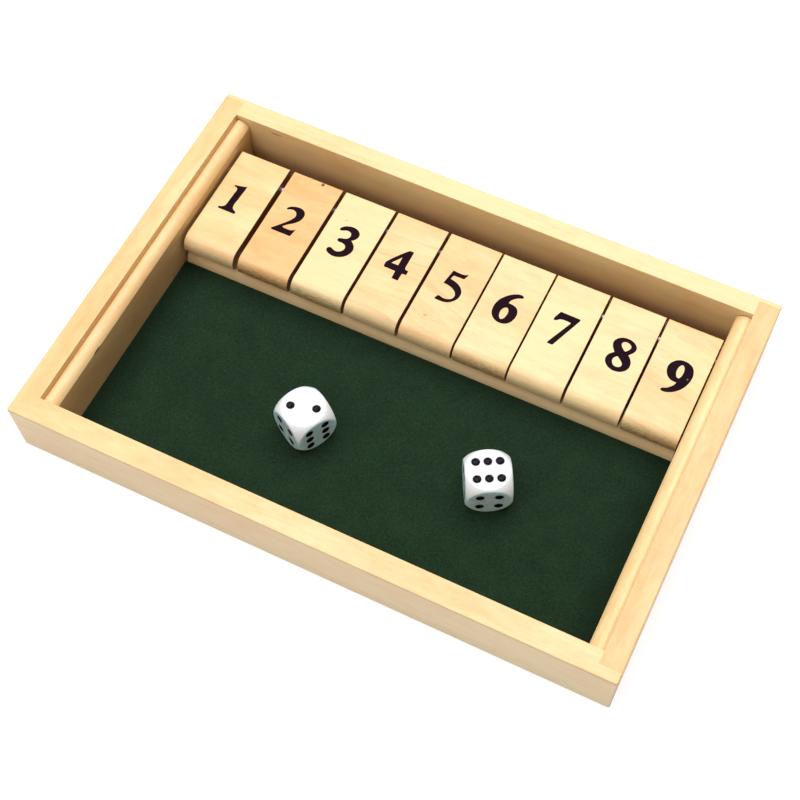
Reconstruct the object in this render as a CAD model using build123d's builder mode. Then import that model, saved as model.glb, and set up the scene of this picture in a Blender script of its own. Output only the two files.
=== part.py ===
from build123d import *
import math
import os

os.makedirs("parts", exist_ok=True)

# A flat wooden shut the box game: an open tray of four rails with a felt floor, a row of
# hinged number tiles along the back, and two dice. Sizes are in millimetres. X runs along
# the row of tiles, Y from the player to the back and Z up. The origin is the middle of
# the underside.

# Frame: four rails, joined with rebated corners
box_width = 220.0
box_depth = 151.2  # at the foot
box_height = 25.2
rail_thickness = 7.9  # at the foot
front_lean = 0.9  # how far the front face leans out from its foot to its top
front_lip = 3.1  # what the front rail laps over the end of each side rail, at the foot
back_lip = 1.6  # the same at the back
corner_round = 0.8  # upright outer corners
outer_edge_round = 0.5  # top and bottom outer edges
inner_edge_round = 0.25  # top inner edges

# Floor: a thin panel let into the rails, flush with their underside
panel_thickness = 1.8
panel_seat_depth = 2.6  # how far the rebate goes into each rail
panel_clearance = 0.15

# End strips: they lie along the side rails and carry the pivot rod
strip_thickness = 5.2
strip_drop = 2.2  # from the top of the rails down to the top of the strips
# Their tops are crowned towards the tray: flat at first, then an arc down to a soft corner
strip_crown_width = 3.9
strip_crown_drop = 2.2
strip_corner_round = 0.3
strip_outer_round = 1.2
strip_end_clearance = 0.25

# Tile rest: the quarter-round moulding under the front ends of the tiles
rest_front = 14.6  # from the middle of the box back to the rest's foot
rest_depth = 9.0
rest_height = 7.0
rest_round = 6.6
rest_end_clearance = 0.9

# Felt: cut to the playing tray between the strips, the front rail and the tile rest
felt_thickness = 0.6
felt_clearance = 0.1

# Number tiles: cut from one moulding, threaded on the rod and pushed about on it in play
tile_length = 45.4
tile_thickness = 8.1
tile_overhang = 0.7  # how far the tiles stand proud of the rest's foot
tile_front_round = 4.2
tile_toe_round = 2.8
tile_back_round = 0.7
tile_side_round = 0.25
# Gaps between one tile and the next, from the left strip, as the tiles happen to lie.
# The last tile keeps the last gap to the right strip.
tile_gaps = (1.2, 1.85, 1.35, 1.1, 1.1, 0.65, 0.6, 0.9, 0.85, 0.7)

# Pivot rod: a steel wire through every tile
rod_diameter = 2.0
rod_from_tile_back = 7.3
rod_running_clearance = 0.1  # radial, in the tiles
rod_socket_clearance = 0.05  # radial, in the strips
rod_socket_depth = 3.6
rod_end_clearance = 0.3
rod_chamfer = 0.3

# Dice: cubes turned down by a ball, with hollowed pips
die_size = 16.0
die_ball_diameter = 22.0
die_rim_round = 0.7
pip_diameter = 3.0
pip_depth = 0.5
pip_offset = 3.2  # from the middle of a face, across and up
six_pitch = 4.1  # between the three pips in each row of a six
# Each die: centre in X and Y, turn about Z in degrees
die_places = ((-23.1, -29.2, -28.3), (43.4, -23.6, 28.9))
# The values on each die's faces, in the order +X, -X, +Y, -Y, +Z, -Z
die_values = (
    ("six", "one", "three", "four", "two", "five"),
    ("five", "two", "three", "four", "six", "one"),
)

# What follows from those
inner_width = box_width - 2 * rail_thickness
inner_depth = box_depth - 2 * rail_thickness
half_width = box_width / 2
half_depth = box_depth / 2
front_reach = half_depth + front_lean
inner_front = -inner_depth / 2
row_width = inner_width - 2 * strip_thickness
row_left = -row_width / 2
tile_count = len(tile_gaps) - 1
tile_width = (row_width - sum(tile_gaps)) / tile_count
rest_top = panel_thickness + rest_height
tile_front = rest_front - tile_overhang
tile_back = tile_front + tile_length
rod_y = tile_back - rod_from_tile_back
rod_z = rest_top + tile_thickness / 2
rod_radius = rod_diameter / 2
felt_top = panel_thickness + felt_thickness
pip_radius = pip_diameter / 2
pip_ball_radius = (pip_radius**2 + pip_depth**2) / (2 * pip_depth)


def finish(piece, name):
    """Labels a finished piece and writes it under its name."""
    piece.part.label = name
    export_step(piece.part, f"parts/{name}.step")


# Frame -------------------------------------------------------------------------------

# The whole frame as sanded after glueing, with the floor's seat cut round its underside.
# Each rail is its own share of it.
with BuildPart() as frame_blank:
    with BuildSketch(Plane.YZ):
        with BuildLine():
            Polyline(
                (-half_depth, 0),
                (half_depth, 0),
                (half_depth, box_height),
                (-front_reach, box_height),
                close=True,
            )
        make_face()
    extrude(amount=half_width, both=True)
    uprights = frame_blank.edges().filter_by(Axis.X, reverse=True).filter_by(Axis.Y, reverse=True)
    fillet(uprights, corner_round)
    outer_loops = frame_blank.faces().filter_by(Axis.Z).edges()
    fillet(outer_loops, outer_edge_round)
    with BuildSketch():
        Rectangle(inner_width, inner_depth)
    extrude(amount=box_height, mode=Mode.SUBTRACT)
    rim = frame_blank.faces().sort_by(Axis.Z)[-1]
    fillet(rim.inner_wires()[0].edges(), inner_edge_round)
    with BuildSketch():
        Rectangle(inner_width + 2 * panel_seat_depth, inner_depth + 2 * panel_seat_depth)
    extrude(amount=panel_thickness, mode=Mode.SUBTRACT)

for name, side, lip, face in (
    ("front_rail", -1, front_lip, front_reach),
    ("back_rail", 1, back_lip, half_depth),
):
    inside = half_depth - rail_thickness
    shoulder = half_depth - lip
    with BuildPart() as rail:
        add(frame_blank.part)
        with BuildSketch():
            with Locations((0, side * (inside + face) / 2)):
                Rectangle(inner_width, face - inside)
            with Locations((0, side * (shoulder + face) / 2)):
                Rectangle(box_width, face - shoulder)
        extrude(amount=box_height, mode=Mode.INTERSECT)
    finish(rail, name)

side_rail_length = box_depth - front_lip - back_lip
for name, side in (("left_rail", -1), ("right_rail", 1)):
    with BuildPart() as rail:
        add(frame_blank.part)
        with BuildSketch():
            with Locations((side * (half_width - rail_thickness / 2), (front_lip - back_lip) / 2)):
                Rectangle(rail_thickness, side_rail_length)
        extrude(amount=box_height, mode=Mode.INTERSECT)
    finish(rail, name)

# Floor and felt ----------------------------------------------------------------------

panel_margin = 2 * (panel_seat_depth - panel_clearance)
with BuildPart() as base_panel:
    with BuildSketch():
        Rectangle(inner_width + panel_margin, inner_depth + panel_margin)
    extrude(amount=panel_thickness)
finish(base_panel, "base_panel")

felt_width = row_width - 2 * felt_clearance
felt_depth = rest_front - inner_front - 2 * felt_clearance
with BuildPart() as felt_lining:
    with BuildSketch(Plane.XY.offset(panel_thickness)):
        with Locations((0, (inner_front + rest_front) / 2)):
            Rectangle(felt_width, felt_depth)
    extrude(amount=felt_thickness)
finish(felt_lining, "felt_lining")

# End strips and tile rest ------------------------------------------------------------

strip_length = inner_depth - 2 * strip_end_clearance
strip_height = box_height - strip_drop - panel_thickness
strip_top = panel_thickness + strip_height
for name, side in (("left_pivot_strip", -1), ("right_pivot_strip", 1)):
    strip_inner = side * row_width / 2
    strip_outer = strip_inner + side * strip_thickness
    crown_start = (strip_inner + side * strip_crown_width, strip_top)
    crown_end = (strip_inner, strip_top - strip_crown_drop)
    with BuildPart() as strip:
        with BuildSketch(Plane.XZ):
            with BuildLine():
                TangentArc(crown_start, crown_end, tangent=(-side, 0))
                Polyline(
                    crown_end,
                    (strip_inner, panel_thickness),
                    (strip_outer, panel_thickness),
                    (strip_outer, strip_top),
                    crown_start,
                )
            make_face()
        extrude(amount=strip_length / 2, both=True)
        long_edges = strip.edges().filter_by(Axis.Y)
        corner = long_edges.sort_by_distance((strip_inner, 0, strip_top - strip_crown_drop))[0]
        fillet(corner, strip_corner_round)
        outer_edge = strip.edges().filter_by(Axis.Y).sort_by_distance((strip_outer, 0, strip_top))[0]
        fillet(outer_edge, strip_outer_round)
        with Locations(Plane((strip_inner, rod_y, rod_z), z_dir=(-side, 0, 0))):
            Hole(rod_radius + rod_socket_clearance, depth=rod_socket_depth)
    finish(strip, name)

rest_width = row_width - 2 * rest_end_clearance
with BuildPart() as tile_rest:
    with BuildSketch(Plane.XY.offset(panel_thickness)):
        with Locations((0, rest_front + rest_depth / 2)):
            Rectangle(rest_width, rest_depth)
    extrude(amount=rest_height)
    front_top = tile_rest.edges().filter_by(Axis.X).group_by(Axis.Z)[-1].sort_by(Axis.Y)[0]
    fillet(front_top, rest_round)
finish(tile_rest, "tile_rest")

# Pivot rod and tiles -----------------------------------------------------------------

rod_length = row_width + 2 * (rod_socket_depth - rod_end_clearance)
with BuildPart() as pivot_rod:
    with BuildSketch(Plane.YZ.offset(-rod_length / 2)):
        with Locations((rod_y, rod_z)):
            Circle(rod_radius)
    extrude(amount=rod_length)
    chamfer(pivot_rod.edges().filter_by(GeomType.CIRCLE), rod_chamfer)
finish(pivot_rod, "pivot_rod")

tile_left = row_left
for number in range(1, tile_count + 1):
    tile_left += tile_gaps[number - 1]
    with BuildPart() as tile:
        with BuildSketch(Plane.YZ.offset(tile_left)) as section:
            with Locations(((tile_front + tile_back) / 2, rod_z)):
                Rectangle(tile_length, tile_thickness)
            # The section's own X runs to the back of the box and its Y up
            fillet(section.vertices().group_by(Axis.X)[-1], tile_back_round)
            nose = section.vertices().group_by(Axis.X)[0].sort_by(Axis.Y)[-1]
            fillet(nose, tile_front_round)
            toe = section.vertices().group_by(Axis.X)[0].sort_by(Axis.Y)[0]
            fillet(toe, tile_toe_round)
        extrude(amount=tile_width)
        end_grain = tile.faces().filter_by(Axis.X)
        fillet(end_grain.edges(), tile_side_round)
        with Locations(Plane((tile_left, rod_y, rod_z), z_dir=(-1, 0, 0))):
            Hole(rod_radius + rod_running_clearance, depth=tile_width)
    finish(tile, f"tile_{number}")
    tile_left += tile_width

# Dice --------------------------------------------------------------------------------


def pip_points(value):
    """Where the pips of a face lie, from the middle of the face."""
    near, far = -pip_offset, pip_offset
    points = {
        "one": [(0, 0)],
        "two": [(near, near), (far, far)],
        "three": [(near, near), (0, 0), (far, far)],
        "four": [(near, near), (near, far), (far, near), (far, far)],
        "five": [(near, near), (near, far), (0, 0), (far, near), (far, far)],
        "six": [(u, v) for u in (-six_pitch, 0, six_pitch) for v in (near, far)],
    }
    return points[value]


half_die = die_size / 2
# The six faces' own directions: outward, and along a six's rows
die_faces = (
    ((1, 0, 0), (0, 0, 1)),
    ((-1, 0, 0), (0, 0, 1)),
    ((0, 1, 0), (0, 0, 1)),
    ((0, -1, 0), (1, 0, 0)),
    ((0, 0, 1), (1, 0, 0)),
    ((0, 0, -1), (1, 0, 0)),
)
for number, ((die_x, die_y, die_turn), values) in enumerate(zip(die_places, die_values), 1):
    turn = math.radians(die_turn)
    die_plane = Plane(
        origin=(die_x, die_y, felt_top + half_die),
        x_dir=(math.cos(turn), math.sin(turn), 0),
    )
    with BuildPart(die_plane) as die:
        Box(die_size, die_size, die_size)
        Sphere(die_ball_diameter / 2, mode=Mode.INTERSECT)
        fillet(die.edges().filter_by(GeomType.CIRCLE), die_rim_round)
        for value, (outward, along) in zip(values, die_faces):
            centre = Vector(*outward) * (half_die - pip_depth + pip_ball_radius)
            with Locations(Plane(centre, x_dir=along, z_dir=outward)):
                with Locations(*pip_points(value)):
                    Sphere(pip_ball_radius, mode=Mode.SUBTRACT)
    finish(die, f"die_{number}")
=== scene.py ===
"""The looks of a flat wooden shut the box game, built round its packed frame.

The file is laid out as an add-on. Property groups hold the colours and sizes that a user would
change, each piece or group of like pieces has its own operator, and a panel in the 3D view's
sidebar lists them. Plain lengths are in millimetres; MM turns them into Blender's metres."""

import math
from collections import namedtuple

import bmesh
import bpy
from bpy.props import FloatProperty, FloatVectorProperty, PointerProperty
from mathutils import Matrix, Quaternion, Vector, noise


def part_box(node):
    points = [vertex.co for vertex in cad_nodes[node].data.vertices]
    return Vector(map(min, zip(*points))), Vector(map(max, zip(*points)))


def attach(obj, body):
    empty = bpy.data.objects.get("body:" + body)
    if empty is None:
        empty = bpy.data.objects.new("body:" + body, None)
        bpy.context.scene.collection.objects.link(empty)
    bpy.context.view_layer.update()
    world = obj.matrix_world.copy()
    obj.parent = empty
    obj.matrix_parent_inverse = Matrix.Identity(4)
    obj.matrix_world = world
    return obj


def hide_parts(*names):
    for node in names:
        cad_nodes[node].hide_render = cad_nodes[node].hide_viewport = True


bl_info = {
    "name": "Shut the box game",
    "version": (1, 0, 0),
    "blender": (4, 5, 0),
    "location": "View3D > Sidebar > Shut the box",
    "description": "Finishes the wooden tray, the number tiles, the felt and the dice",
    "category": "Object",
}

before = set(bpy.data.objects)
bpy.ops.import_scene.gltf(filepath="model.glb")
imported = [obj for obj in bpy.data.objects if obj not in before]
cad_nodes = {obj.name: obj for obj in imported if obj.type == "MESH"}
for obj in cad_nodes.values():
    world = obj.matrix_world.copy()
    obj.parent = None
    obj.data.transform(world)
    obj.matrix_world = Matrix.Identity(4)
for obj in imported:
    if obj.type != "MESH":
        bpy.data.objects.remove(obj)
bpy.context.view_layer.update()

MM = 0.001
TILE_NUMBERS = range(1, 10)


# Settings ----------------------------------------------------------------------------


def linear(red, green, blue):
    """A colour as a screen shows it, from 0 to 255, in the linear values that a shader takes."""
    shares = (value / 255 for value in (red, green, blue))
    return tuple(s / 12.92 if s <= 0.04045 else ((s + 0.055) / 1.055) ** 2.4 for s in shares)


def colour_setting(name, description, shown):
    """A colour property, its default given as a screen shows it."""
    return FloatVectorProperty(
        name=name,
        description=description,
        subtype="COLOR",
        min=0.0,
        max=1.0,
        default=linear(*shown),
    )


def length_setting(name, description, millimetres):
    """A length property, its default given in millimetres."""
    return FloatProperty(
        name=name,
        description=description,
        subtype="DISTANCE",
        unit="LENGTH",
        min=0.0,
        default=millimetres * MM,
    )


def share_setting(name, description, default):
    """A property that runs from 0 to 1."""
    return FloatProperty(
        name=name, description=description, subtype="FACTOR", min=0.0, max=1.0, default=default
    )


def power_setting(name, description, watts):
    """A property for a lamp's power, its default given in watts."""
    return FloatProperty(name=name, description=description, unit="POWER", min=0.0, default=watts)


class WoodSettings(bpy.types.PropertyGroup):
    """The pale hardwood that the whole box is made of."""

    pale: colour_setting("Pale wood", "Colour of the palest boards", (243, 213, 153))
    warm: colour_setting("Warm wood", "Colour of the most orange boards", (238, 176, 105))
    # Partly painted light: besides being bare wood's colour, its paleness brightens the tile
    # rest, and it lightens the front ends of five tiles.
    raw: colour_setting("Raw wood", "Colour of the wood that has no varnish", (255, 222, 168))
    late: colour_setting("Ring lines", "Colour of the lines between two rings", (189, 120, 61))
    end: colour_setting("End grain", "Colour that the varnish gives to end grain", (120, 76, 46))
    pore: colour_setting("Pores", "Colour of the fine pores", (107, 63, 31))
    knot: colour_setting("Knots", "Colour of small knots and marks", (58, 34, 22))
    # Painted shade: this brown darkens the tray where shade falls: low on the wall behind the
    # tiles, on the floor panel under them, low on the end strips' inner faces and on four tiles'
    # front ends. It also darkens the top of the front face.
    shade_brown: colour_setting("Grime", "Colour of the soil inside the tray", (112, 67, 44))
    # Painted light: this pale tint lightens the front face, the top of the wall behind the tiles
    # and the grooves beside the end strips.
    painted_light: colour_setting("Dust", "Colour of the dust in grooves and on walls", (255, 238, 212))
    ring_spacing: length_setting("Ring spacing", "Width of one year's growth", 2.9)
    ring_strength: share_setting("Ring strength", "How plainly the plainest rings show", 0.42)
    pore_strength: share_setting("Pore strength", "How plainly the pores show", 0.14)
    grain_depth: length_setting("Grain depth", "Depth of the grain in the varnish", 0.03)


class RodSettings(bpy.types.PropertyGroup):
    """The steel rod that the tiles turn on."""

    bright: colour_setting("Bright steel", "Colour of most of the rod", (244, 243, 240))
    drawn: colour_setting("Drawn lines", "Colour of the fine lines along it", (214, 212, 208))


class FeltSettings(bpy.types.PropertyGroup):
    """The felt that lines the playing tray."""

    dark: colour_setting("Dark felt", "Colour between the fibres", (20, 36, 22))
    light: colour_setting("Light felt", "Colour of the fibres on top", (40, 61, 42))
    lint: colour_setting("Lint", "Colour of stray wood dust and lint", (150, 165, 95))
    sheen: colour_setting("Sheen", "Tint of the light that the fibres catch", (120, 160, 125))
    nap_height: length_setting("Nap height", "How far the surface rises and falls", 0.07)
    nap_size: length_setting("Nap size", "Distance from one tuft to the next", 0.9)


class NumberSettings(bpy.types.PropertyGroup):
    """The numbers printed on the tiles."""

    ink: colour_setting("Ink", "Colour of the printed numbers", (28, 11, 21))
    chip: colour_setting("Chipped ink", "Colour where a fleck of ink is gone", (205, 180, 150))
    thickness: length_setting("Ink thickness", "Thickness of the print, half of it sunk in", 0.03)
    spread: length_setting("Ink spread", "How far the ink has run past the outlines", 0.1)


class DiceSettings(bpy.types.PropertyGroup):
    """The two dice and the paint in their pips."""

    plastic: colour_setting("Plastic", "Colour of the dice", (247, 255, 255))
    # Painted shade: the dice's sides, which get less light than their tops, are greyer and
    # cooler.
    side_shade: colour_setting("Handled plastic", "Colour of the sides of the dice", (190, 213, 219))
    paint: colour_setting("Pip paint", "Colour of the paint in the pips", (12, 2, 13))
    paint_depth: length_setting("Paint depth", "Thickness of paint at a pip's middle", 0.14)


class StageSettings(bpy.types.PropertyGroup):
    """The floor and the light."""

    floor: colour_setting("Floor", "Colour of the floor", (246, 248, 250))
    back_lamp: power_setting("Back lamp", "Power of the soft lamp above and behind", 10.7)
    front_lamp: power_setting("Front lamp", "Power of the soft lamp above the front left", 8.7)
    front_tint: colour_setting("Front tint", "Colour of the front lamp", (243, 248, 255))
    sky: share_setting("Sky", "Brightness of the soft light from all round", 0.256)


SETTINGS = {
    "box_wood": WoodSettings,
    "box_rod": RodSettings,
    "box_felt": FeltSettings,
    "box_numbers": NumberSettings,
    "box_dice": DiceSettings,
    "box_stage": StageSettings,
}


# Materials ---------------------------------------------------------------------------


class Finish:
    """A material in the making, with short ways to add its nodes and join them."""

    def __init__(self, name):
        self.material = bpy.data.materials.new(name)
        self.material.use_nodes = True
        self.tree = self.material.node_tree
        self.shader = self.tree.nodes["Principled BSDF"]

    def add(self, kind, inputs=None, **settings):
        """Adds a shader node, sets it up, and feeds its inputs with outputs or plain values."""
        node = self.tree.nodes.new("ShaderNode" + kind)
        for name, value in settings.items():
            setattr(node, name, value)
        for socket, value in (inputs or {}).items():
            self.feed(node.inputs[socket], value)
        return node

    def feed(self, socket, value):
        """Joins an output to a socket, or sets a plain value on it."""
        if isinstance(value, bpy.types.NodeSocket):
            self.tree.links.new(value, socket)
        else:
            socket.default_value = value

    def paint(self, **inputs):
        """Feeds the shader, with an underscore for each space in an input's name."""
        for name, value in inputs.items():
            self.feed(self.shader.inputs[name.replace("_", " ")], value)

    def place(self, turn=(0, 0, 0), shift=(0, 0, 0)):
        """The point on the piece in millimetres, turned by degrees and then shifted."""
        point = self.add("TexCoord").outputs["Object"]
        angles = [math.radians(angle) for angle in turn]
        inputs = {"Vector": point, "Scale": [1 / MM] * 3, "Rotation": angles, "Location": shift}
        return self.add("Mapping", inputs).outputs[0]

    def maths(self, operation, *values):
        """One sum of a Math node."""
        return self.add("Math", dict(enumerate(values)), operation=operation).outputs[0]

    def add_up(self, start, *parts):
        """A starting value with so much of each pattern added to it."""
        total = start
        for pattern, amount in parts:
            total = self.maths("MULTIPLY_ADD", pattern, amount, total)
        return total

    def axis(self, point, letter):
        """One coordinate of a point."""
        return self.add("SeparateXYZ", {0: point}).outputs[letter]

    def length(self, vector):
        """How long a vector is."""
        return self.add("VectorMath", {0: vector}, operation="LENGTH").outputs["Value"]

    def stretch(self, point, scales):
        """The point with each of its coordinates scaled."""
        node = self.add("VectorMath", {0: point, 1: scales}, operation="MULTIPLY")
        return node.outputs[0]

    def noise(self, point, scales, detail=0.0, roughness=0.5):
        """Smooth noise from 0 to 1, with so many waves a millimetre along each axis."""
        inputs = {
            "Vector": self.stretch(point, scales),
            "Scale": 1.0,
            "Detail": detail,
            "Roughness": roughness,
        }
        return self.add("TexNoise", inputs).outputs[0]

    def fade(self, value, start, end, low=0.0, high=1.0):
        """Goes smoothly from low to high as the value goes from start to end."""
        inputs = {0: value, 1: start, 2: end, 3: low, 4: high}
        return self.add("MapRange", inputs, interpolation_type="SMOOTHSTEP").outputs[0]

    def mix(self, share, first, second):
        """A mix of two colours, which go into the node's sockets 6 and 7."""
        inputs = {0: share, 6: first, 7: second}
        return self.add("Mix", inputs, data_type="RGBA").outputs[2]

    def mark(self, centre, kind):
        """How dark a small mark is here, with its centre on the piece in millimetres."""
        point = self.add("TexCoord").outputs["Object"]
        away = self.add("VectorMath", {0: point, 1: Vector(centre) * MM}, operation="SUBTRACT")
        shares = [1 / (radius * MM) for radius in kind.radii]
        reach = self.length(self.stretch(away.outputs[0], shares))
        return self.fade(reach, 0.5, 1.2, kind.share, 0.0)

    def own_normal(self):
        """The way a face looks, as the piece itself has it, however its body is turned."""
        normal = self.add("NewGeometry").outputs["Normal"]
        turning = {"vector_type": "NORMAL", "convert_from": "WORLD", "convert_to": "OBJECT"}
        return self.add("VectorTransform", {0: normal}, **turning).outputs[0]

    def squareness(self, normal, direction):
        """How squarely a face looks in a direction, from -1 for its back to 1."""
        node = self.add("VectorMath", {0: normal, 1: direction}, operation="DOT_PRODUCT")
        return node.outputs["Value"]

    def relief(self, height, depth):
        """Raises the surface by the height, from 0 to 1, times the depth in metres."""
        bump = self.add("Bump", {"Height": height, "Distance": depth, "Strength": 1.0})
        self.paint(Normal=bump.outputs[0])


def opaque(colour):
    """A property's colour with the alpha that a socket wants."""
    return (*colour, 1.0)


def scaled(colour, times, plus=0.0):
    """A colour with each of its channels scaled and then raised."""
    return [channel * times + plus for channel in colour]


LEFTWARD = (-1, 0, 0)
RIGHTWARD = (1, 0, 0)
FORWARD = (0, -1, 0)
BACKWARD = (0, 1, 0)
UPWARD = (0, 0, 1)
DOWNWARD = (0, 0, -1)

# Each board is cut from a log of its own. Its warmth and the plainness of its rings go from
# about 0 to 1. The turn, in degrees, and the place, in millimetres, are how its middle lay in
# the log, whose heart is the line along X. A raw board has no varnish.
Board = namedtuple("Board", "grain warmth rings turn place raw", defaults=(False,))

BOARDS = {
    "front_rail": Board("X", 0.28, 0.2, (8, 1.2, 0.8), (0, 96, 40)),
    "back_rail": Board("X", 0.0, 0.2, (-5, -0.8, 0.5), (300, 105, 30)),
    "left_rail": Board("Y", 0.4, 0.35, (6, 0.9, 0.4), (700, 60, 75)),
    "right_rail": Board("Y", 0.72, 0.35, (-4, -1.1, 0.7), (1100, 84, 60)),
    "base_panel": Board("X", 0.95, 0.5, (0, 0.4, 0.3), (1500, 20, 110)),
    "left_pivot_strip": Board("Y", 0.35, 0.3, (10, 0.6, 0.5), (1900, 66, 40)),
    "right_pivot_strip": Board("Y", 0.25, 0.3, (-8, 0.8, 0.3), (2300, 77, 35)),
    # The tile rest is bare wood, and its pale raw colour is partly painted light.
    "tile_rest": Board("X", 0.1, 0.5, (4, 0.7, 0.4), (2700, 90, 25), raw=True),
    "tile_1": Board("X", 0.38, 0.25, (3, 2, 1.5), (3100, 40, 95)),
    "tile_2": Board("X", 0.85, 0.4, (-2, 3, -1), (3200, 10, 80)),
    "tile_3": Board("X", -0.08, 0.1, (5, -2, 1), (3300, 30, 120)),
    "tile_4": Board("X", 0.4, 0.7, (12, 2, -1.5), (3400, 75, 60)),
    "tile_5": Board("X", 0.5, 0.6, (-4, -3, 9), (3500, 20, 70)),
    "tile_6": Board("X", 0.31, 0.3, (2, 4, 5), (3600, -10, 64)),
    "tile_7": Board("X", 0.1, 0.2, (6, -2, 1), (3700, 35, 100)),
    "tile_8": Board("X", 0.09, 0.2, (-3, 1, -2), (3800, 5, 90)),
    "tile_9": Board("X", 0.34, 0.5, (14, -6, 7), (3900, 50, 45)),
}
LOG_TURN = {"X": 0, "Y": -90}  # degrees that lay a log along a board's grain
GRAIN = {"X": RIGHTWARD, "Y": BACKWARD}

# A kind of small oval mark: its radii in millimetres and its darkness from 0 to 1.
Mark = namedtuple("Mark", "radii share")
SPECK = Mark((0.35, 0.35, 0.35), 0.6)
DOT = Mark((0.75, 0.75, 0.75), 1.0)
BRUISE = Mark((0.9, 0.55, 0.35), 0.4)
STREAK = Mark((2.4, 0.6, 0.5), 0.6)
CRACK = Mark((0.35, 2.2, 0.5), 0.9)

# Where the boards have one, and of which kind
MARKS = {
    "back_rail": ((-85.4, 67.7, 22.4), STREAK),
    "left_pivot_strip": ((-96.9, -41.5, 20.7), CRACK),
    "tile_2": ((-61.05, 58.1, 16.9), DOT),
    "tile_3": ((-45.8, 47.6, 16.9), SPECK),
    "tile_5": ((-2.4, 23.1, 16.9), BRUISE),
}
CHIPPED_NINE = (90.35, 38.5, 16.9)  # where a speck of the 9's ink is gone

# A tinted side of a board: the way it faces, two heights in millimetres, the share of its tint up
# to the first and from the second on, the tint's name, and how spotted it is. Most of these tints
# are painted shade or painted light.
Side = namedtuple("Side", "facing foot top low high tint grit", defaults=(0.1,))


def even_side(facing, share, tint):
    """A side with the same tint at every height, so its two heights can be any."""
    return Side(facing, 0.0, 1.0, share, share, tint)


RAIL_ENDS = (even_side(LEFTWARD, 0.45, "warm"), even_side(RIGHTWARD, 0.45, "warm"))
# Painted light: a pale tint over the front face.
FRONT_FACE = even_side(FORWARD, 0.12, "painted_light")
# Darker towards the top edge of the front face, in the same brown.
FRONT_EDGE = Side(FORWARD, 24.1, 25.1, 0.0, 0.3, "shade_brown")
# Painted shade: the wall behind the tiles darkens towards the bottom, where the tiles shade it.
BEHIND_TILES = Side(FORWARD, 4.0, 14.5, 0.76, 0.06, "shade_brown")
# Painted light: a trace of pale tint high on the wall behind the tiles.
ABOVE_TILES = Side(FORWARD, 14.0, 20.0, 0.0, 0.06, "painted_light")
# Painted shade: the floor panel's top, seen behind and between the tiles, is darkened.
UNDER_TILES = even_side(UPWARD, 0.8, "shade_brown")
# Painted shade: the end strips' inner faces darken towards the bottom.
LEFT_OF_TRAY = Side(RIGHTWARD, 10.0, 24.0, 0.42, 0.12, "shade_brown")
RIGHT_OF_TRAY = Side(LEFTWARD, 10.0, 24.0, 0.42, 0.12, "shade_brown")
# Painted light: a pale tint in the grooves between the end strips and the rails.
GROOVE_ON_LEFT = Side(LEFTWARD, 19.0, 22.0, 0.0, 0.8, "painted_light")
GROOVE_ON_RIGHT = Side(RIGHTWARD, 19.0, 22.0, 0.0, 0.8, "painted_light")
# Painted light on five tiles' front ends and painted shade on four others', both spotted along
# the grain.
LIT_NOSE = Side(FORWARD, 8.0, 17.0, 0.8, 0.5, "raw", 0.6)
SHADED_NOSE = Side(FORWARD, 8.0, 17.0, 0.6, 0.2, "shade_brown", 0.6)
SHADED_NOSED = (2, 3, 6, 9)  # the tiles whose front ends get painted shade, not painted light

SIDES = {
    "front_rail": (FRONT_FACE, FRONT_EDGE, *RAIL_ENDS),
    "back_rail": (BEHIND_TILES, ABOVE_TILES, *RAIL_ENDS),
    "right_rail": (GROOVE_ON_LEFT,),
    "base_panel": (UNDER_TILES,),
    "left_pivot_strip": (LEFT_OF_TRAY, GROOVE_ON_LEFT),
    "right_pivot_strip": (RIGHT_OF_TRAY, GROOVE_ON_RIGHT),
}
for number in TILE_NUMBERS:
    SIDES[f"tile_{number}"] = (SHADED_NOSE if number in SHADED_NOSED else LIT_NOSE,)

RING_SWAY = 16.0  # millimetres that the rings sway on their way along the log
RING_WOBBLE = 2.4  # and that they wobble on their way round it
FIGURE_MIDDLE = 1.27  # about what the patterns of the wood's warmth add up to
RAW_ROUGHNESS = 0.2  # how much rougher wood is without varnish


def ring_lines(finish, log, spacing):
    """The lines between a log's yearly rings, from 0 to 1, plainer in some years."""
    sway = finish.noise(log, (0.012, 0.03, 0.03), detail=1.0)
    wobble = finish.noise(log, (0.05, 0.22, 0.22), detail=2.0)
    radius = finish.length(finish.stretch(log, (0, 1, 1)))
    radius = finish.add_up(radius, (sway, RING_SWAY), (wobble, RING_WOBBLE))
    year = finish.maths("DIVIDE", radius, spacing / MM)
    season = finish.maths("FRACT", year)
    autumn = finish.fade(season, 0.5, 0.94)
    line = finish.maths("MULTIPLY", autumn, finish.fade(season, 0.94, 1.0, 1.0, 0.0))
    one_year = {"W": finish.maths("FLOOR", year)}
    harvest = finish.add("TexWhiteNoise", one_year, noise_dimensions="1D").outputs["Value"]
    good_year = finish.maths("POWER", harvest, 2.0)
    return finish.maths("MULTIPLY", line, finish.fade(good_year, 0, 1, 0.1, 1.0))


def tint_sides(finish, colour, log, wood, sides):
    """The colour of the wood with the tints of its sides, most of them painted shade or painted
    light.
    """
    normal = finish.own_normal()
    level = finish.axis(finish.place(), "Z")
    spots = finish.noise(log, (0.5, 4, 4), detail=2.0)
    for side in sides:
        squarely = finish.fade(finish.squareness(normal, side.facing), 0.5, 0.95)
        share = finish.fade(level, side.foot, side.top, side.low, side.high)
        grit = finish.fade(spots, 0.4, 0.6, 1 - side.grit, 1 + side.grit)
        share = finish.maths("MULTIPLY", finish.maths("MULTIPLY", share, squarely), grit)
        colour = finish.mix(share, colour, opaque(getattr(wood, side.tint)))
    return colour


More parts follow.
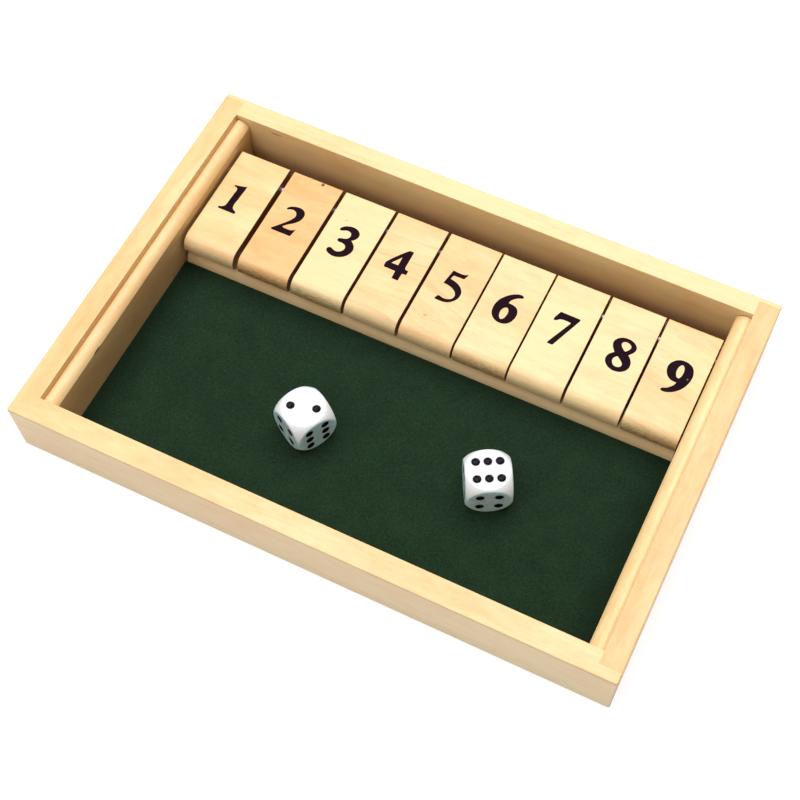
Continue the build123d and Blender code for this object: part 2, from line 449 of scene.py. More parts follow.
def varnished_wood(node, wood):
    """Pale hardwood cut from a log: faint rings, a mottled figure and browner end grain."""
    board = BOARDS[node]
    finish = Finish(node)
    turn_x, turn_y, turn_z = board.turn
    log = finish.place((turn_x, turn_y, turn_z + LOG_TURN[board.grain]), board.place)
    blotch = finish.noise(log, (0.018, 0.07, 0.07), detail=2.0)
    mottle = finish.noise(log, (0.11, 0.3, 0.3), detail=3.0, roughness=0.6)
    fibre = finish.noise(log, (0.12, 1.6, 1.6), detail=3.0, roughness=0.6)
    streak = finish.fade(finish.noise(log, (0.07, 0.8, 0.8), detail=4.0), 0.42, 0.72, 0.0, 0.07)
    pore = finish.fade(finish.noise(log, (0.32, 4.5, 4.5), detail=1.0), 0.64, 0.76)
    line = ring_lines(finish, log, wood.ring_spacing)
    facing = finish.squareness(finish.own_normal(), GRAIN[board.grain])
    sawn = finish.fade(finish.maths("ABSOLUTE", facing), 0.55, 0.9)

    middle = board.warmth - FIGURE_MIDDLE
    warmth = finish.add_up(middle, (blotch, 1.3), (mottle, 0.9), (fibre, 0.35))
    colour = finish.mix(warmth, opaque(wood.raw if board.raw else wood.pale), opaque(wood.warm))
    layers = (
        (streak, wood.late),
        (finish.maths("MULTIPLY", line, wood.ring_strength * board.rings), wood.late),
        (finish.maths("MULTIPLY", pore, wood.pore_strength), wood.pore),
        (sawn, wood.end),
    )
    for share, tint in layers:
        colour = finish.mix(share, colour, opaque(tint))
    if node in MARKS:
        colour = finish.mix(finish.mark(*MARKS[node]), colour, opaque(wood.knot))
    if node in SIDES:
        colour = tint_sides(finish, colour, log, wood, SIDES[node])

    finish.relief(finish.add_up(fibre, (pore, -0.6), (line, -0.25)), wood.grain_depth)
    dull = RAW_ROUGHNESS if board.raw else 0.0
    finish.paint(
        Base_Color=colour,
        Roughness=finish.fade(fibre, 0.3, 0.7, 0.40 + dull, 0.52 + dull),
        Coat_Weight=0.0 if board.raw else 0.3,
        Coat_Roughness=0.26,
    )
    return finish.material


def drawn_steel(name, rod):
    """Bright drawn wire, with fine lines along it."""
    finish = Finish(name)
    lines = finish.noise(finish.place(), (0.05, 9, 9), detail=2.0)
    finish.relief(lines, 0.004 * MM)
    finish.paint(
        Base_Color=finish.mix(lines, opaque(rod.drawn), opaque(rod.bright)),
        Metallic=1.0,
        Roughness=finish.fade(lines, 0.3, 0.7, 0.5, 0.62),
    )
    return finish.material


SHADE_START = 82.0  # millimetres from the middle out to which the felt has no painted shade
FELT_REACH = 97.0  # and where its painted shade is at its darkest, along the end strips
FELT_CURL = 1.6  # millimetres that a thread can stray
FELT_MIDDLE = 0.55  # what the felt's clumps and clouds add up to on average
LINT_CELLS = 0.055  # places for a speck of lint in each millimetre


def felt_cloth(name, felt):
    """Matted wool fibres: curling light fibres over a darker ground, with a little lint and
    painted shade towards the end strips.
    """
    finish = Finish(name)
    point = finish.place()
    warp = finish.add("TexNoise", {"Vector": point, "Scale": 0.9, "Detail": 2.0}).outputs["Color"]
    curl = {0: warp, 1: [FELT_CURL] * 3, 2: point}
    curled = finish.add("VectorMath", curl, operation="MULTIPLY_ADD").outputs[0]
    threads = finish.noise(curled, (3.1, 3.1, 3.1), detail=3.0, roughness=0.62)
    clump = finish.noise(point, (0.8, 0.8, 0.8), detail=2.0)
    cloud = finish.noise(point, (0.13, 0.13, 0.13), detail=2.0)
    across = finish.maths("ABSOLUTE", finish.axis(point, "X"))
    # Painted shade: the felt darkens towards the end strips.
    end_shade = finish.fade(across, SHADE_START, FELT_REACH)
    top = finish.fade(threads, 0.3, 0.74)
    parts = ((top, 1.0), (clump, 0.6), (cloud, 0.5), (end_shade, -0.45))
    light = finish.add_up(-FELT_MIDDLE, *parts)
    colour = finish.mix(light, opaque(felt.dark), opaque(felt.light))
    specks = finish.add("TexVoronoi", {"Vector": point, "Scale": LINT_CELLS})
    lint = finish.fade(specks.outputs["Distance"], 0.012, 0.02, 0.7, 0.0)
    colour = finish.mix(lint, colour, opaque(felt.lint))
    finish.relief(threads, 0.12 * MM)
    finish.paint(
        Base_Color=colour,
        Roughness=1.0,
        Specular_IOR_Level=0.08,
        Sheen_Weight=0.25,
        Sheen_Roughness=0.5,
        Sheen_Tint=opaque(felt.sheen),
    )
    return finish.material


def printed_ink(name, numbers):
    """Flat ink, a little thinner where the wood's fibres rise."""
    finish = Finish(name)
    cover = finish.noise(finish.place(), (0.5, 2.5, 2.5), detail=3.0)
    faded = scaled(numbers.ink, 1.6, 0.003)
    colour = finish.mix(finish.fade(cover, 0.45, 0.75), opaque(numbers.ink), opaque(faded))
    chipped = finish.maths("MULTIPLY", finish.mark(CHIPPED_NINE, SPECK), 0.6)
    colour = finish.mix(chipped, colour, opaque(numbers.chip))
    finish.relief(cover, 0.01 * MM)
    finish.paint(
        Base_Color=colour,
        Roughness=finish.fade(cover, 0.3, 0.7, 0.55, 0.68),
        Specular_IOR_Level=0.03,
    )
    return finish.material


DICE_GLOW = 0.055  # a trace of light of their own, which keeps the dice white all round
DICE_GLOW_TINT = (0.65, 1.0, 0.95, 1.0)  # in linear values


def moulded_plastic(name, dice):
    """Polished white plastic, a trace uneven from tumbling, with painted shade that makes its
    sides greyer.
    """
    finish = Finish(name)
    point = finish.place()
    haze = finish.noise(point, (0.35, 0.35, 0.35), detail=3.0)
    rub = finish.noise(point, (3.0, 3.0, 3.0), detail=2.0)
    dull = scaled(dice.plastic, 0.96)
    colour = finish.mix(finish.fade(haze, 0.35, 0.75), opaque(dice.plastic), opaque(dull))
    upright = finish.maths("ABSOLUTE", finish.axis(finish.own_normal(), "Z"))
    # Painted shade: the steeper a face, the more it takes the sides' greyer colour.
    colour = finish.mix(finish.fade(upright, 0.0, 0.4, 1.0, 0.0), colour, opaque(dice.side_shade))
    finish.relief(rub, 0.006 * MM)
    finish.paint(
        Base_Color=colour,
        Roughness=finish.fade(haze, 0.3, 0.7, 0.2, 0.32),
        IOR=1.49,
        Subsurface_Weight=1.0,
        Subsurface_Radius=(1.0, 1.05, 1.1),
        Subsurface_Scale=4 * MM,
        Emission_Color=DICE_GLOW_TINT,
        Emission_Strength=DICE_GLOW,
    )
    return finish.material


def pip_enamel(name, dice):
    """Glossy dark paint that has pooled in the pips."""
    finish = Finish(name)
    pooled = finish.noise(finish.place(), (1.2, 1.2, 1.2), detail=2.0)
    thin = scaled(dice.paint, 2.2, 0.002)
    colour = finish.mix(finish.fade(pooled, 0.45, 0.8), opaque(dice.paint), opaque(thin))
    finish.relief(pooled, 0.02 * MM)
    finish.paint(
        Base_Color=colour,
        Roughness=finish.fade(pooled, 0.3, 0.7, 0.12, 0.18),
        Specular_IOR_Level=0.08,
    )
    return finish.material


def dress(node, material):
    """Gives a carried-over node its material."""
    slots = cad_nodes[node].data.materials
    slots.clear()
    slots.append(material)


def dress_in_wood(nodes, wood):
    """Gives each of the nodes wood from its own board."""
    for node in nodes:
        dress(node, varnished_wood(node, wood))


# Shapes ------------------------------------------------------------------------------


def new_piece(name, mesh, material, body):
    """Adds a finished mesh to the scene as a piece that rides on a body."""
    mesh.materials.append(material)
    piece = bpy.data.objects.new(name, mesh)
    bpy.context.scene.collection.objects.link(piece)
    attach(piece, body)
    return piece


def mesh_from(bm, name):
    """Turns a bmesh into a smooth-shaded mesh and frees it."""
    bmesh.ops.recalc_face_normals(bm, faces=bm.faces)
    for face in bm.faces:
        face.smooth = True
    mesh = bpy.data.meshes.new(name)
    bm.to_mesh(mesh)
    bm.free()
    return mesh


def middle_of(node):
    """The middle of a node's box."""
    low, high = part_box(node)
    return (low + high) / 2


# The numbers' outlines and then their holes. A point is across from the tile's middle and up
# from the line that the numbers stand on, and it is rounded unless it is marked as a corner.
CORNER = True
FOOT_LINE = 16.9  # from a tile's front edge back to that line
OUTLINE_STEPS = 8  # from one point to the next

# How far each number is printed off its tile's middle
OFF_MIDDLE = {1: 0.4, 2: 0.3, 4: 0.1, 7: -0.15, 8: -0.3, 9: -0.2}

NUMERALS = {
    1: (
        (
            (-5.25, 12.7, CORNER), (-5.3, 13.05, CORNER), (-3, 13.5), (-0.85, 14.1, CORNER),
            (-0.95, 12), (-1.2, 8), (-1.35, 4.6), (-1, 3.4), (0, 2.65), (0.75, 2.25, CORNER),
            (0.7, 1.45, CORNER), (-6.05, 1.45, CORNER), (-6.05, 2.15, CORNER), (-4.75, 2.6),
            (-4.05, 3.6), (-3.85, 5.5), (-3.65, 9.5), (-3.55, 11.3), (-3.95, 12.25),
        ),
    ),
    2: (
        (
            (-5.1, 12, CORNER), (-4.6, 12.85), (-3.1, 13.75), (-1, 14.15), (0.6, 13.9),
            (1.7, 13), (2.2, 11.6), (2.05, 10), (1.3, 8.4), (0.2, 7.2), (-1.5, 5.8),
            (-2.95, 4.3, CORNER), (-2.5, 3.9), (-1, 3.75), (0.7, 3.85), (1.5, 4.2),
            (2.1, 4.8, CORNER), (1.95, 3.3), (1.6, 1.55, CORNER), (-5.9, 1.5, CORNER),
            (-6.15, 2, CORNER), (-5, 3.3), (-3.5, 5.1), (-1.9, 7.1), (-0.9, 8.7), (-0.45, 10.1),
            (-0.65, 11.2), (-1.3, 12.05), (-2.4, 12.5), (-3.6, 12.35), (-4.8, 11.75, CORNER),
        ),
    ),
    3: (
        (
            (-4.2, 12), (-4.65, 12.3), (-4.5, 13), (-3.4, 14.1), (-2, 14.7), (-0.5, 14.95),
            (1, 14.65), (2.3, 13.8), (2.95, 12.5), (2.8, 11.3), (2.1, 10.1), (1.2, 9.3, CORNER),
            (2.4, 8.4), (3.3, 7.2), (3.65, 5.8), (3.3, 3.9), (2.2, 2.3), (0.6, 1.2),
            (-1.2, 0.65), (-3, 0.8), (-4.5, 1.5), (-5.1, 2.4), (-4.8, 3.25), (-4.05, 3.5),
            (-3, 3.1), (-1.8, 2.8), (-0.6, 3.1), (0.4, 4), (0.8, 5.1), (0.4, 6.4), (-0.5, 7),
            (-1.6, 7.2), (-2.7, 7.2), (-3.35, 7.7), (-3.2, 8.35), (-2.4, 8.75), (-1.1, 9.1),
            (-0.1, 9.8), (0.3, 11), (0, 12.1), (-0.9, 12.75), (-2.1, 12.8), (-3.2, 12.35),
        ),
    ),
    4: (
        (
            (1.1, 14.55, CORNER), (2.3, 14.55, CORNER), (2.5, 14.3, CORNER), (2.5, 7.3, CORNER),
            (2.8, 6.6), (4.1, 6.25, CORNER), (4.15, 4.6, CORNER), (2.5, 4.5, CORNER),
            (2.4, 1.2, CORNER), (0.1, 1.2, CORNER), (0, 4.5, CORNER), (-4.5, 4.6, CORNER),
            (-4.75, 4.9, CORNER), (-4.75, 6.5), (-4.4, 7.3), (0.4, 13.9),
        ),
        (
            (-3.15, 7, CORNER), (-0.15, 11.2, CORNER), (-0.15, 7, CORNER),
        ),
    ),
    5: (
        (
            (-2.6, 13.65, CORNER), (1.9, 13.65), (2.75, 14.15, CORNER), (2.9, 13.9, CORNER),
            (2.25, 12, CORNER), (-1.6, 11.9, CORNER), (-1.9, 11.4), (-2.2, 10, CORNER),
            (-1.5, 9.85), (0, 9.5), (1.7, 8.7), (3.1, 7.4), (3.8, 5.9), (3.85, 4.6), (3.4, 3),
            (2.6, 1.8), (1.4, 0.8), (0, 0.2), (-1.6, 0.05), (-3.6, 0.1, CORNER),
            (-3.85, 0.4, CORNER), (-3.2, 1.75, CORNER), (-2.7, 1.75), (-1.4, 1.45), (-0.2, 1.45),
            (1.2, 1.95), (2.1, 2.9), (2.3, 4), (1.8, 5.3), (0.6, 6.4), (-1, 7.1), (-2.6, 7.45),
            (-3.65, 7.5, CORNER),
        ),
    ),
    6: (
        (
            (3.6, 14), (3.3, 14.35), (2.2, 14.55), (1, 14.2), (-0.9, 13.1), (-2.5, 11.5),
            (-3.8, 9.5), (-4.4, 7.6), (-4.5, 5.6), (-4.1, 3.6), (-3, 2), (-1.6, 1.1), (0, 0.8),
            (1.6, 1.1), (3, 2.1), (3.9, 3.7), (4.25, 5.6), (3.95, 7.5), (3.1, 8.7), (1.7, 9.35),
            (-0.35, 9.55, CORNER), (-0.1, 10.8), (0.7, 11.9), (1.9, 12.9),
        ),
        (
            (0.1, 7.65), (0.8, 7.1), (1.2, 5.8), (1.1, 4.2), (0.6, 2.8), (-0.3, 2.25),
            (-1.1, 2.9), (-1.6, 4.3), (-1.6, 5.9), (-0.9, 7.2),
        ),
    ),
    7: (
        (
            (-2.95, 14.25, CORNER), (4.3, 14.15, CORNER), (4.55, 13.7, CORNER),
            (-0.4, 0.7, CORNER), (-0.75, 0.5, CORNER), (-2.35, 0.5, CORNER), (-2.4, 0.9, CORNER),
            (2.05, 11.2, CORNER), (1.9, 11.6, CORNER), (-1.2, 11.6), (-2.2, 11.3), (-2.9, 10.7),
            (-3.4, 10.35), (-3.95, 10.3), (-4.1, 10.7),
        ),
    ),
    8: (
        (
            (1.6, 14.1), (3.5, 13.7), (5, 12.6), (5.55, 11.2), (5.2, 9.8), (4.4, 8.7),
            (3.8, 7.95, CORNER), (4.6, 7.2), (5.5, 5.9), (5.95, 4.2), (5.6, 2.4), (4.3, 0.9),
            (2.4, 0.15), (0.6, 0.2), (-1, 0.9), (-2.3, 2.2), (-2.8, 3.8), (-2.4, 5.4),
            (-1.5, 6.5), (-0.85, 7.2, CORNER), (-1.7, 8.3), (-2.4, 9.6), (-2.65, 11),
            (-2.1, 12.4), (-0.9, 13.5), (0.4, 14),
        ),
        (
            (1.6, 12.75), (0.6, 12.45), (0.05, 11.5), (0.4, 10.5), (1.4, 9.4), (2.3, 8.85),
            (2.95, 9.3), (3.55, 10.2), (3.8, 11.3), (3.1, 12.3),
        ),
        (
            (0.7, 6), (1.8, 5.3), (2.9, 4.3), (3.4, 3.4), (3.1, 2.4), (2, 1.8), (0.8, 1.9),
            (-0.2, 2.9), (-0.55, 4.3), (-0.1, 5.4),
        ),
    ),
    9: (
        (
            (1.2, 14.15), (3, 13.85), (4.5, 12.9), (5.4, 11.2), (5.75, 8.7), (5.3, 6.2),
            (4.3, 3.9), (2.5, 1.7), (0.5, 0.4), (-1.4, -0.15), (-2.3, 0.05), (-2.4, 0.6),
            (-0.9, 1.5), (0.4, 2.7), (1.3, 4), (1.55, 5.1, CORNER), (0, 5.1), (-1.6, 5.8),
            (-2.8, 7.3), (-3.35, 9.2), (-3.2, 10.9), (-2.2, 12.6), (-0.6, 13.8),
        ),
        (
            (1, 12.5), (1.7, 12.2), (2.3, 11), (2.45, 9.2), (2.1, 7.5), (1.45, 6.75), (0.7, 7.1),
            (0.1, 8.2), (-0.15, 10), (0.2, 11.6),
        ),
    ),
}


def numeral_mesh(number, thickness, spread):
    """One number as a thin solid, from smooth curves through its outline's points."""
    curve = bpy.data.curves.new(f"number_{number}", "CURVE")
    curve.dimensions = "2D"
    curve.fill_mode = "BOTH"
    curve.resolution_u = OUTLINE_STEPS
    curve.extrude = thickness / 2
    curve.offset = spread
    for outline in NUMERALS[number]:
        spline = curve.splines.new("BEZIER")
        spline.use_cyclic_u = True
        spline.bezier_points.add(len(outline) - 1)
        for knot, (across, up, *corner) in zip(spline.bezier_points, outline):
            knot.co = (across * MM, up * MM, 0)
            knot.handle_left_type = knot.handle_right_type = "VECTOR" if corner else "AUTO"
    drawn = bpy.data.objects.new(curve.name, curve)
    bpy.context.scene.collection.objects.link(drawn)
    bpy.context.view_layer.update()
    evaluated = drawn.evaluated_get(bpy.context.evaluated_depsgraph_get())
    mesh = bpy.data.meshes.new_from_object(evaluated)
    bpy.data.objects.remove(drawn)
    bpy.data.curves.remove(curve)
    bm = bmesh.new()
    bm.from_mesh(mesh)
    bmesh.ops.remove_doubles(bm, verts=bm.verts, dist=0.001 * MM)
    bmesh.ops.recalc_face_normals(bm, faces=bm.faces)
    bm.to_mesh(mesh)
    bm.free()
    return mesh


# How each die is turned, in degrees, and the values on its faces in the order of DIE_FACES,
# which holds a face's direction outward and its direction along the rows of a six.
Die = namedtuple("Die", "turn values")
DICE = {"die_1": Die(-28.3, (6, 1, 3, 4, 2, 5)), "die_2": Die(28.9, (5, 2, 3, 4, 6, 1))}
DIE_FACES = (
    (RIGHTWARD, UPWARD),
    (LEFTWARD, UPWARD),
    (BACKWARD, UPWARD),
    (FORWARD, RIGHTWARD),
    (UPWARD, RIGHTWARD),
    (DOWNWARD, RIGHTWARD),
)
DIE_SIZE = 16.0
PIP_OFFSET = 3.2  # from a face's middle to the pips that lie off it
SIX_PITCH = 4.1  # from one pip to the next along the rows of a six
PIP_RADIUS = 1.5
PIP_DEPTH = 0.5
PAINT_INSET = 0.015  # the paint lies this far clear of the plastic
PAINT_RINGS = 5
PAINT_SPOKES = 24


def pip_points(value):
    """Where the pips of a face lie, from its middle."""
    near, far = -PIP_OFFSET, PIP_OFFSET
    points = {
        1: [(0, 0)],
        2: [(near, near), (far, far)],
        3: [(near, near), (0, 0), (far, far)],
        4: [(near, near), (near, far), (far, near), (far, far)],
        5: [(near, near), (near, far), (0, 0), (far, near), (far, far)],
        6: [(u, v) for u in (-SIX_PITCH, 0, SIX_PITCH) for v in (near, far)],
    }
    return points[value]


def bowl(depth, radius, share):
    """Height of a round bowl's wall at a share of its radius, its rim at 0."""
    ball = (radius**2 + depth**2) / (2 * depth)
    return ball - depth - math.sqrt(ball**2 - (share * radius) ** 2)


def paint_pool(paint_depth):
    """The paint in one pip, its rim at height 0, as a bmesh."""
    bm = bmesh.new()
    radius = PIP_RADIUS - PAINT_INSET
    floor = PIP_DEPTH - PAINT_INSET
    surface = floor - paint_depth / MM
    shares = [ring / PAINT_RINGS for ring in range(PAINT_RINGS + 1)]
    profile = [(share, bowl(floor, radius, share)) for share in shares]
    profile += [(share, bowl(surface, radius, share)) for share in reversed(shares[:-1])]
    verts = [bm.verts.new((share * radius, 0, height)) for share, height in profile]
    edges = [bm.edges.new(pair) for pair in zip(verts, verts[1:])]
    bmesh.ops.spin(
        bm,
        geom=verts + edges,
        cent=(0, 0, 0),
        axis=(0, 0, 1),
        angle=math.tau,
        steps=PAINT_SPOKES,
        use_merge=True,
    )
    bmesh.ops.remove_doubles(bm, verts=bm.verts, dist=0.01)
    bmesh.ops.scale(bm, vec=(MM, MM, MM), verts=bm.verts)
    return bm


def pip_paint_mesh(name, paint_depth):
    """The paint in every pip of one die."""
    pool = bpy.data.meshes.new("pool")
    pool_bm = paint_pool(paint_depth)
    pool_bm.to_mesh(pool)
    pool_bm.free()
    die = DICE[name]
    stand = Matrix.Translation(middle_of(name)) @ Matrix.Rotation(math.radians(die.turn), 4, "Z")
    bm = bmesh.new()
    for value, (outward, along) in zip(die.values, DIE_FACES):
        outward, along = Vector(outward), Vector(along)
        side = outward.cross(along)
        face = Matrix((along, side, outward)).transposed().to_4x4()
        for u, v in pip_points(value):
            offset = Matrix.Translation(Vector((u, v, DIE_SIZE / 2)) * MM)
            already = len(bm.verts)
            bm.from_mesh(pool)
            bm.verts.ensure_lookup_table()
            bmesh.ops.transform(bm, matrix=stand @ face @ offset, verts=bm.verts[already:])
    bpy.data.meshes.remove(pool)
    return mesh_from(bm, f"{name}_pips")


TUFT_WAVES = 1.3  # to one nap size
SWELL_SIZE = 14 * MM
HEM_SINK = 2.0  # how far the cut edge lies below the top, in nap heights


def felt_mesh(name, felt):
    """The felt as a closed sheet with a napped top and soft cut edges."""
    low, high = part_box("felt_lining")
    middle = middle_of("felt_lining")
    size = high - low
    columns = round(size.x / felt.nap_size)
    rows = round(size.y / felt.nap_size)
    bm = bmesh.new()
    bmesh.ops.create_grid(bm, x_segments=columns, y_segments=rows, size=0.5)
    bmesh.ops.scale(bm, vec=(size.x, size.y, 1), verts=bm.verts)
    bmesh.ops.translate(bm, vec=(middle.x, middle.y, high.z), verts=bm.verts)
    rim = [edge for edge in bm.edges if edge.is_boundary]
    rim_verts = {vert for edge in rim for vert in edge.verts}
    for vert in bm.verts:
        tuft = noise.noise(vert.co / felt.nap_size * TUFT_WAVES)
        swell = noise.noise(vert.co / SWELL_SIZE)
        sink = HEM_SINK if vert in rim_verts else 0.5 + 0.32 * tuft + 0.18 * swell
        vert.co.z -= felt.nap_height * sink
    skirt = bmesh.ops.extrude_edge_only(bm, edges=rim)["geom"]
    for item in skirt:
        if isinstance(item, bmesh.types.BMVert):
            item.co.z = low.z
    bottom = [edge for edge in bm.edges if edge.is_boundary]
    bmesh.ops.contextual_create(bm, geom=bottom)
    return mesh_from(bm, name)


# Operators ---------------------------------------------------------------------------


class BOX_OT_frame_rails(bpy.types.Operator):
    """Gives the four rails their varnished wood"""

    bl_idname = "shutbox.frame_rails"
    bl_label = "Frame rails"

    def execute(self, context):
        rails = ("front_rail", "back_rail", "left_rail", "right_rail")
        dress_in_wood(rails, context.scene.box_wood)
        return {"FINISHED"}


class BOX_OT_floor_panel(bpy.types.Operator):
    """Gives the floor panel under the felt its thin board"""

    bl_idname = "shutbox.floor_panel"
    bl_label = "Floor panel"

    def execute(self, context):
        dress_in_wood(("base_panel",), context.scene.box_wood)
        return {"FINISHED"}


class BOX_OT_inner_mouldings(bpy.types.Operator):
    """Gives the two end strips and the tile rest their wood"""

    bl_idname = "shutbox.inner_mouldings"
    bl_label = "End strips and tile rest"

    def execute(self, context):
        mouldings = ("left_pivot_strip", "right_pivot_strip", "tile_rest")
        dress_in_wood(mouldings, context.scene.box_wood)
        return {"FINISHED"}


class BOX_OT_pivot_rod(bpy.types.Operator):
    """Gives the rod through the tiles its drawn steel"""

    bl_idname = "shutbox.pivot_rod"
    bl_label = "Pivot rod"

    def execute(self, context):
        dress("pivot_rod", drawn_steel("rod_steel", context.scene.box_rod))
        return {"FINISHED"}


class BOX_OT_felt_lining(bpy.types.Operator):
    """Lays the felt in the playing tray"""

    bl_idname = "shutbox.felt_lining"
    bl_label = "Felt lining"

    def execute(self, context):
        felt = context.scene.box_felt
        mesh = felt_mesh("felt_sheet", felt)
        piece = new_piece("felt_sheet", mesh, felt_cloth("felt", felt), "tray")
        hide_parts("felt_lining")
        return {"FINISHED"}


class BOX_OT_number_tiles(bpy.types.Operator):
    """Gives each of the nine tiles its own piece of wood"""

    bl_idname = "shutbox.number_tiles"
    bl_label = "Number tiles"

    def execute(self, context):
        tiles = [f"tile_{number}" for number in TILE_NUMBERS]
        dress_in_wood(tiles, context.scene.box_wood)
        return {"FINISHED"}


class BOX_OT_printed_numbers(bpy.types.Operator):
    """Prints a number on each tile"""

    bl_idname = "shutbox.printed_numbers"
    bl_label = "Printed numbers"

    def execute(self, context):
        numbers = context.scene.box_numbers
        ink = printed_ink("number_ink", numbers)
        for number in TILE_NUMBERS:
            tile = f"tile_{number}"
            low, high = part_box(tile)
            across = middle_of(tile).x + OFF_MIDDLE.get(number, 0) * MM
            foot = Vector((across, low.y + FOOT_LINE * MM, high.z))
            mesh = numeral_mesh(number, numbers.thickness, numbers.spread)
            mesh.transform(Matrix.Translation(foot))
            new_piece(f"number_{number}", mesh, ink, tile)
        return {"FINISHED"}


class BOX_OT_dice(bpy.types.Operator):
    """Gives both dice their plastic and paints their pips"""

    bl_idname = "shutbox.dice"
    bl_label = "Dice"

    def execute(self, context):
        settings = context.scene.box_dice
        plastic = moulded_plastic("dice_plastic", settings)
        enamel = pip_enamel("pip_paint", settings)
        for name in DICE:
            dress(name, plastic)
            mesh = pip_paint_mesh(name, settings.paint_depth)
            new_piece(f"{name}_pips", mesh, enamel, name)
        return {"FINISHED"}


# The stage's lengths are in metres, the camera's roll in degrees and its lens in millimetres.
# The camera stands and looks as the one that took the photo did.
CAMERA_PLACE = (0.11536, -0.23017, 0.45023)
CAMERA_AIM = (0.01038, -0.01686, 0.0)
CAMERA_ROLL = -0.348
CAMERA_LENS = 65.54
CAMERA_SHIFT = (-0.01017, 0.05164)
CAMERA_CLIP = 0.01
BACK_PLACE = (0.0, 0.5, 1.14)
FRONT_PLACE = (-0.42, -0.3, 1.14)
LAMP_AIM = (0.0, 0.0, 0.02)
LAMP_SPAN = 0.9
FLOOR_SPAN = 6.0
FLOOR_GLOW = 0.8  # the share of the floor's white that no shadow can darken
FLOOR_SHADED = (0.32, 0.32, 0.32, 1.0)  # the colour that takes the shadow
WHITE = (1.0, 1.0, 1.0, 1.0)


def seen_by_eye(nodes, links):
    """1 for what the camera sees, straight or in gloss or glass, and 0 for light on its way."""
    path = nodes.new("ShaderNodeLightPath")
    seen = path.outputs["Is Camera Ray"]
    for ray in ("Is Glossy Ray", "Is Transmission Ray"):
        either = nodes.new("ShaderNodeMath")
        either.operation = "MAXIMUM"
        links.new(seen, either.inputs[0])
        links.new(path.outputs[ray], either.inputs[1])
        seen = either.outputs[0]
    return seen


def floor_material(colour):
    """A plain pale floor that shows white to the eye and keeps a soft shadow."""
    finish = Finish("floor")
    nodes, links = finish.tree.nodes, finish.tree.links
    plain = finish.add("BsdfDiffuse", {"Color": opaque(colour)})
    shaded = finish.add("BsdfDiffuse", {"Color": FLOOR_SHADED})
    glow = finish.add("Emission", {"Color": WHITE, "Strength": FLOOR_GLOW})
    shown = finish.add("AddShader", {0: shaded.outputs[0], 1: glow.outputs[0]})
    both = finish.add(
        "MixShader", {0: seen_by_eye(nodes, links), 1: plain.outputs[0], 2: shown.outputs[0]}
    )
    links.new(both.outputs[0], nodes["Material Output"].inputs["Surface"])
    return finish.material


def light_world(sky):
    """A sky that is white to the eye and lights the box softly."""
    world = bpy.data.worlds.new("studio")
    bpy.context.scene.world = world
    world.use_nodes = True
    nodes, links = world.node_tree.nodes, world.node_tree.links
    light = nodes["Background"]
    light.inputs["Color"].default_value = WHITE
    light.inputs["Strength"].default_value = sky
    white = nodes.new("ShaderNodeBackground")
    white.inputs["Color"].default_value = WHITE
    white.inputs["Strength"].default_value = 1.0
    both = nodes.new("ShaderNodeMixShader")
    links.new(seen_by_eye(nodes, links), both.inputs[0])
    links.new(light.outputs[0], both.inputs[1])
    links.new(white.outputs[0], both.inputs[2])
    links.new(both.outputs[0], nodes["World Output"].inputs["Surface"])


def look_at(place, aim):
    """The turn of a lamp or camera at a place that looks at a point."""
    return (Vector(aim) - Vector(place)).to_track_quat("-Z", "Y")


def hang_lamp(name, place, power, tint=(1, 1, 1)):
    """A large square lamp that looks at the box."""
    lamp = bpy.data.lights.new(name, "AREA")
    lamp.shape = "SQUARE"
    lamp.size = LAMP_SPAN
    lamp.energy = power
    lamp.color = tint
    hung = bpy.data.objects.new(name, lamp)
    hung.rotation_mode = "QUATERNION"
    hung.rotation_quaternion = look_at(place, LAMP_AIM)
    hung.location = place
    bpy.context.scene.collection.objects.link(hung)


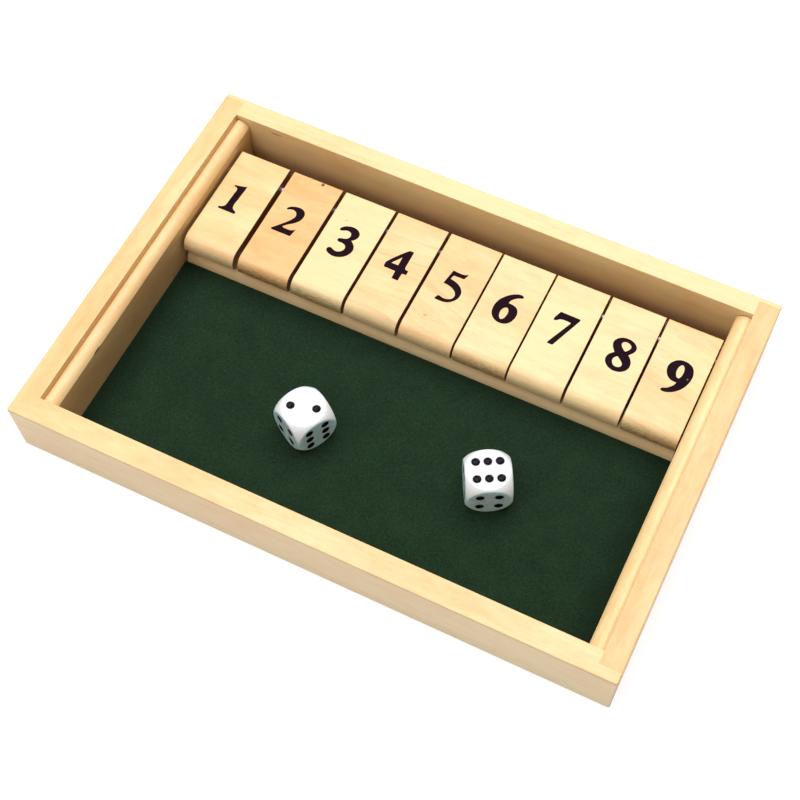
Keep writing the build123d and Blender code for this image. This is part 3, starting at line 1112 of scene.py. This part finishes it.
class BOX_OT_stage(bpy.types.Operator):
    """Sets up the floor, the light and the camera"""

    bl_idname = "shutbox.stage"
    bl_label = "Stage"

    def execute(self, context):
        stage = context.scene.box_stage
        scene = context.scene

        bm = bmesh.new()
        bmesh.ops.create_grid(bm, x_segments=1, y_segments=1, size=FLOOR_SPAN / 2)
        floor = bpy.data.objects.new("floor", mesh_from(bm, "floor"))
        floor.data.materials.append(floor_material(stage.floor))
        scene.collection.objects.link(floor)

        hang_lamp("back_lamp", BACK_PLACE, stage.back_lamp)
        hang_lamp("front_lamp", FRONT_PLACE, stage.front_lamp, stage.front_tint)
        light_world(stage.sky)

        lens = bpy.data.cameras.new("camera")
        lens.lens = CAMERA_LENS
        lens.shift_x, lens.shift_y = CAMERA_SHIFT
        lens.clip_start = CAMERA_CLIP
        camera = bpy.data.objects.new("camera", lens)
        camera.rotation_mode = "QUATERNION"
        roll = Quaternion((0, 0, 1), math.radians(CAMERA_ROLL))
        camera.rotation_quaternion = look_at(CAMERA_PLACE, CAMERA_AIM) @ roll
        camera.location = CAMERA_PLACE
        scene.collection.objects.link(camera)
        scene.camera = camera
        scene.view_settings.view_transform = "Standard"
        return {"FINISHED"}


# Panel and registering ---------------------------------------------------------------

OPERATORS = (
    BOX_OT_frame_rails,
    BOX_OT_floor_panel,
    BOX_OT_inner_mouldings,
    BOX_OT_pivot_rod,
    BOX_OT_felt_lining,
    BOX_OT_number_tiles,
    BOX_OT_printed_numbers,
    BOX_OT_dice,
    BOX_OT_stage,
)


class BOX_PT_pieces(bpy.types.Panel):
    """Lists the game's pieces and their settings"""

    bl_idname = "BOX_PT_pieces"
    bl_label = "Shut the box"
    bl_space_type = "VIEW_3D"
    bl_region_type = "UI"
    bl_category = "Shut the box"

    def draw(self, context):
        for operator in OPERATORS:
            self.layout.operator(operator.bl_idname)
        for attribute, group in SETTINGS.items():
            box = self.layout.box()
            box.label(text=group.__doc__)
            for name in group.__annotations__:
                box.prop(getattr(context.scene, attribute), name)


def register():
    """Makes the settings, the operators and the panel known to Blender."""
    for group in SETTINGS.values():
        bpy.utils.register_class(group)
    for attribute, group in SETTINGS.items():
        setattr(bpy.types.Scene, attribute, PointerProperty(type=group))
    for operator in OPERATORS:
        bpy.utils.register_class(operator)
    bpy.utils.register_class(BOX_PT_pieces)


def unregister():
    """Takes the panel, the operators and the settings away again."""
    bpy.utils.unregister_class(BOX_PT_pieces)
    for operator in reversed(OPERATORS):
        bpy.utils.unregister_class(operator)
    for attribute in SETTINGS:
        delattr(bpy.types.Scene, attribute)
    for group in reversed(SETTINGS.values()):
        bpy.utils.unregister_class(group)


def main():
    """Makes every piece in order."""
    register()
    for operator in OPERATORS:
        family, name = operator.bl_idname.split(".")
        getattr(getattr(bpy.ops, family), name)()


if __name__ == "__main__":
    main()
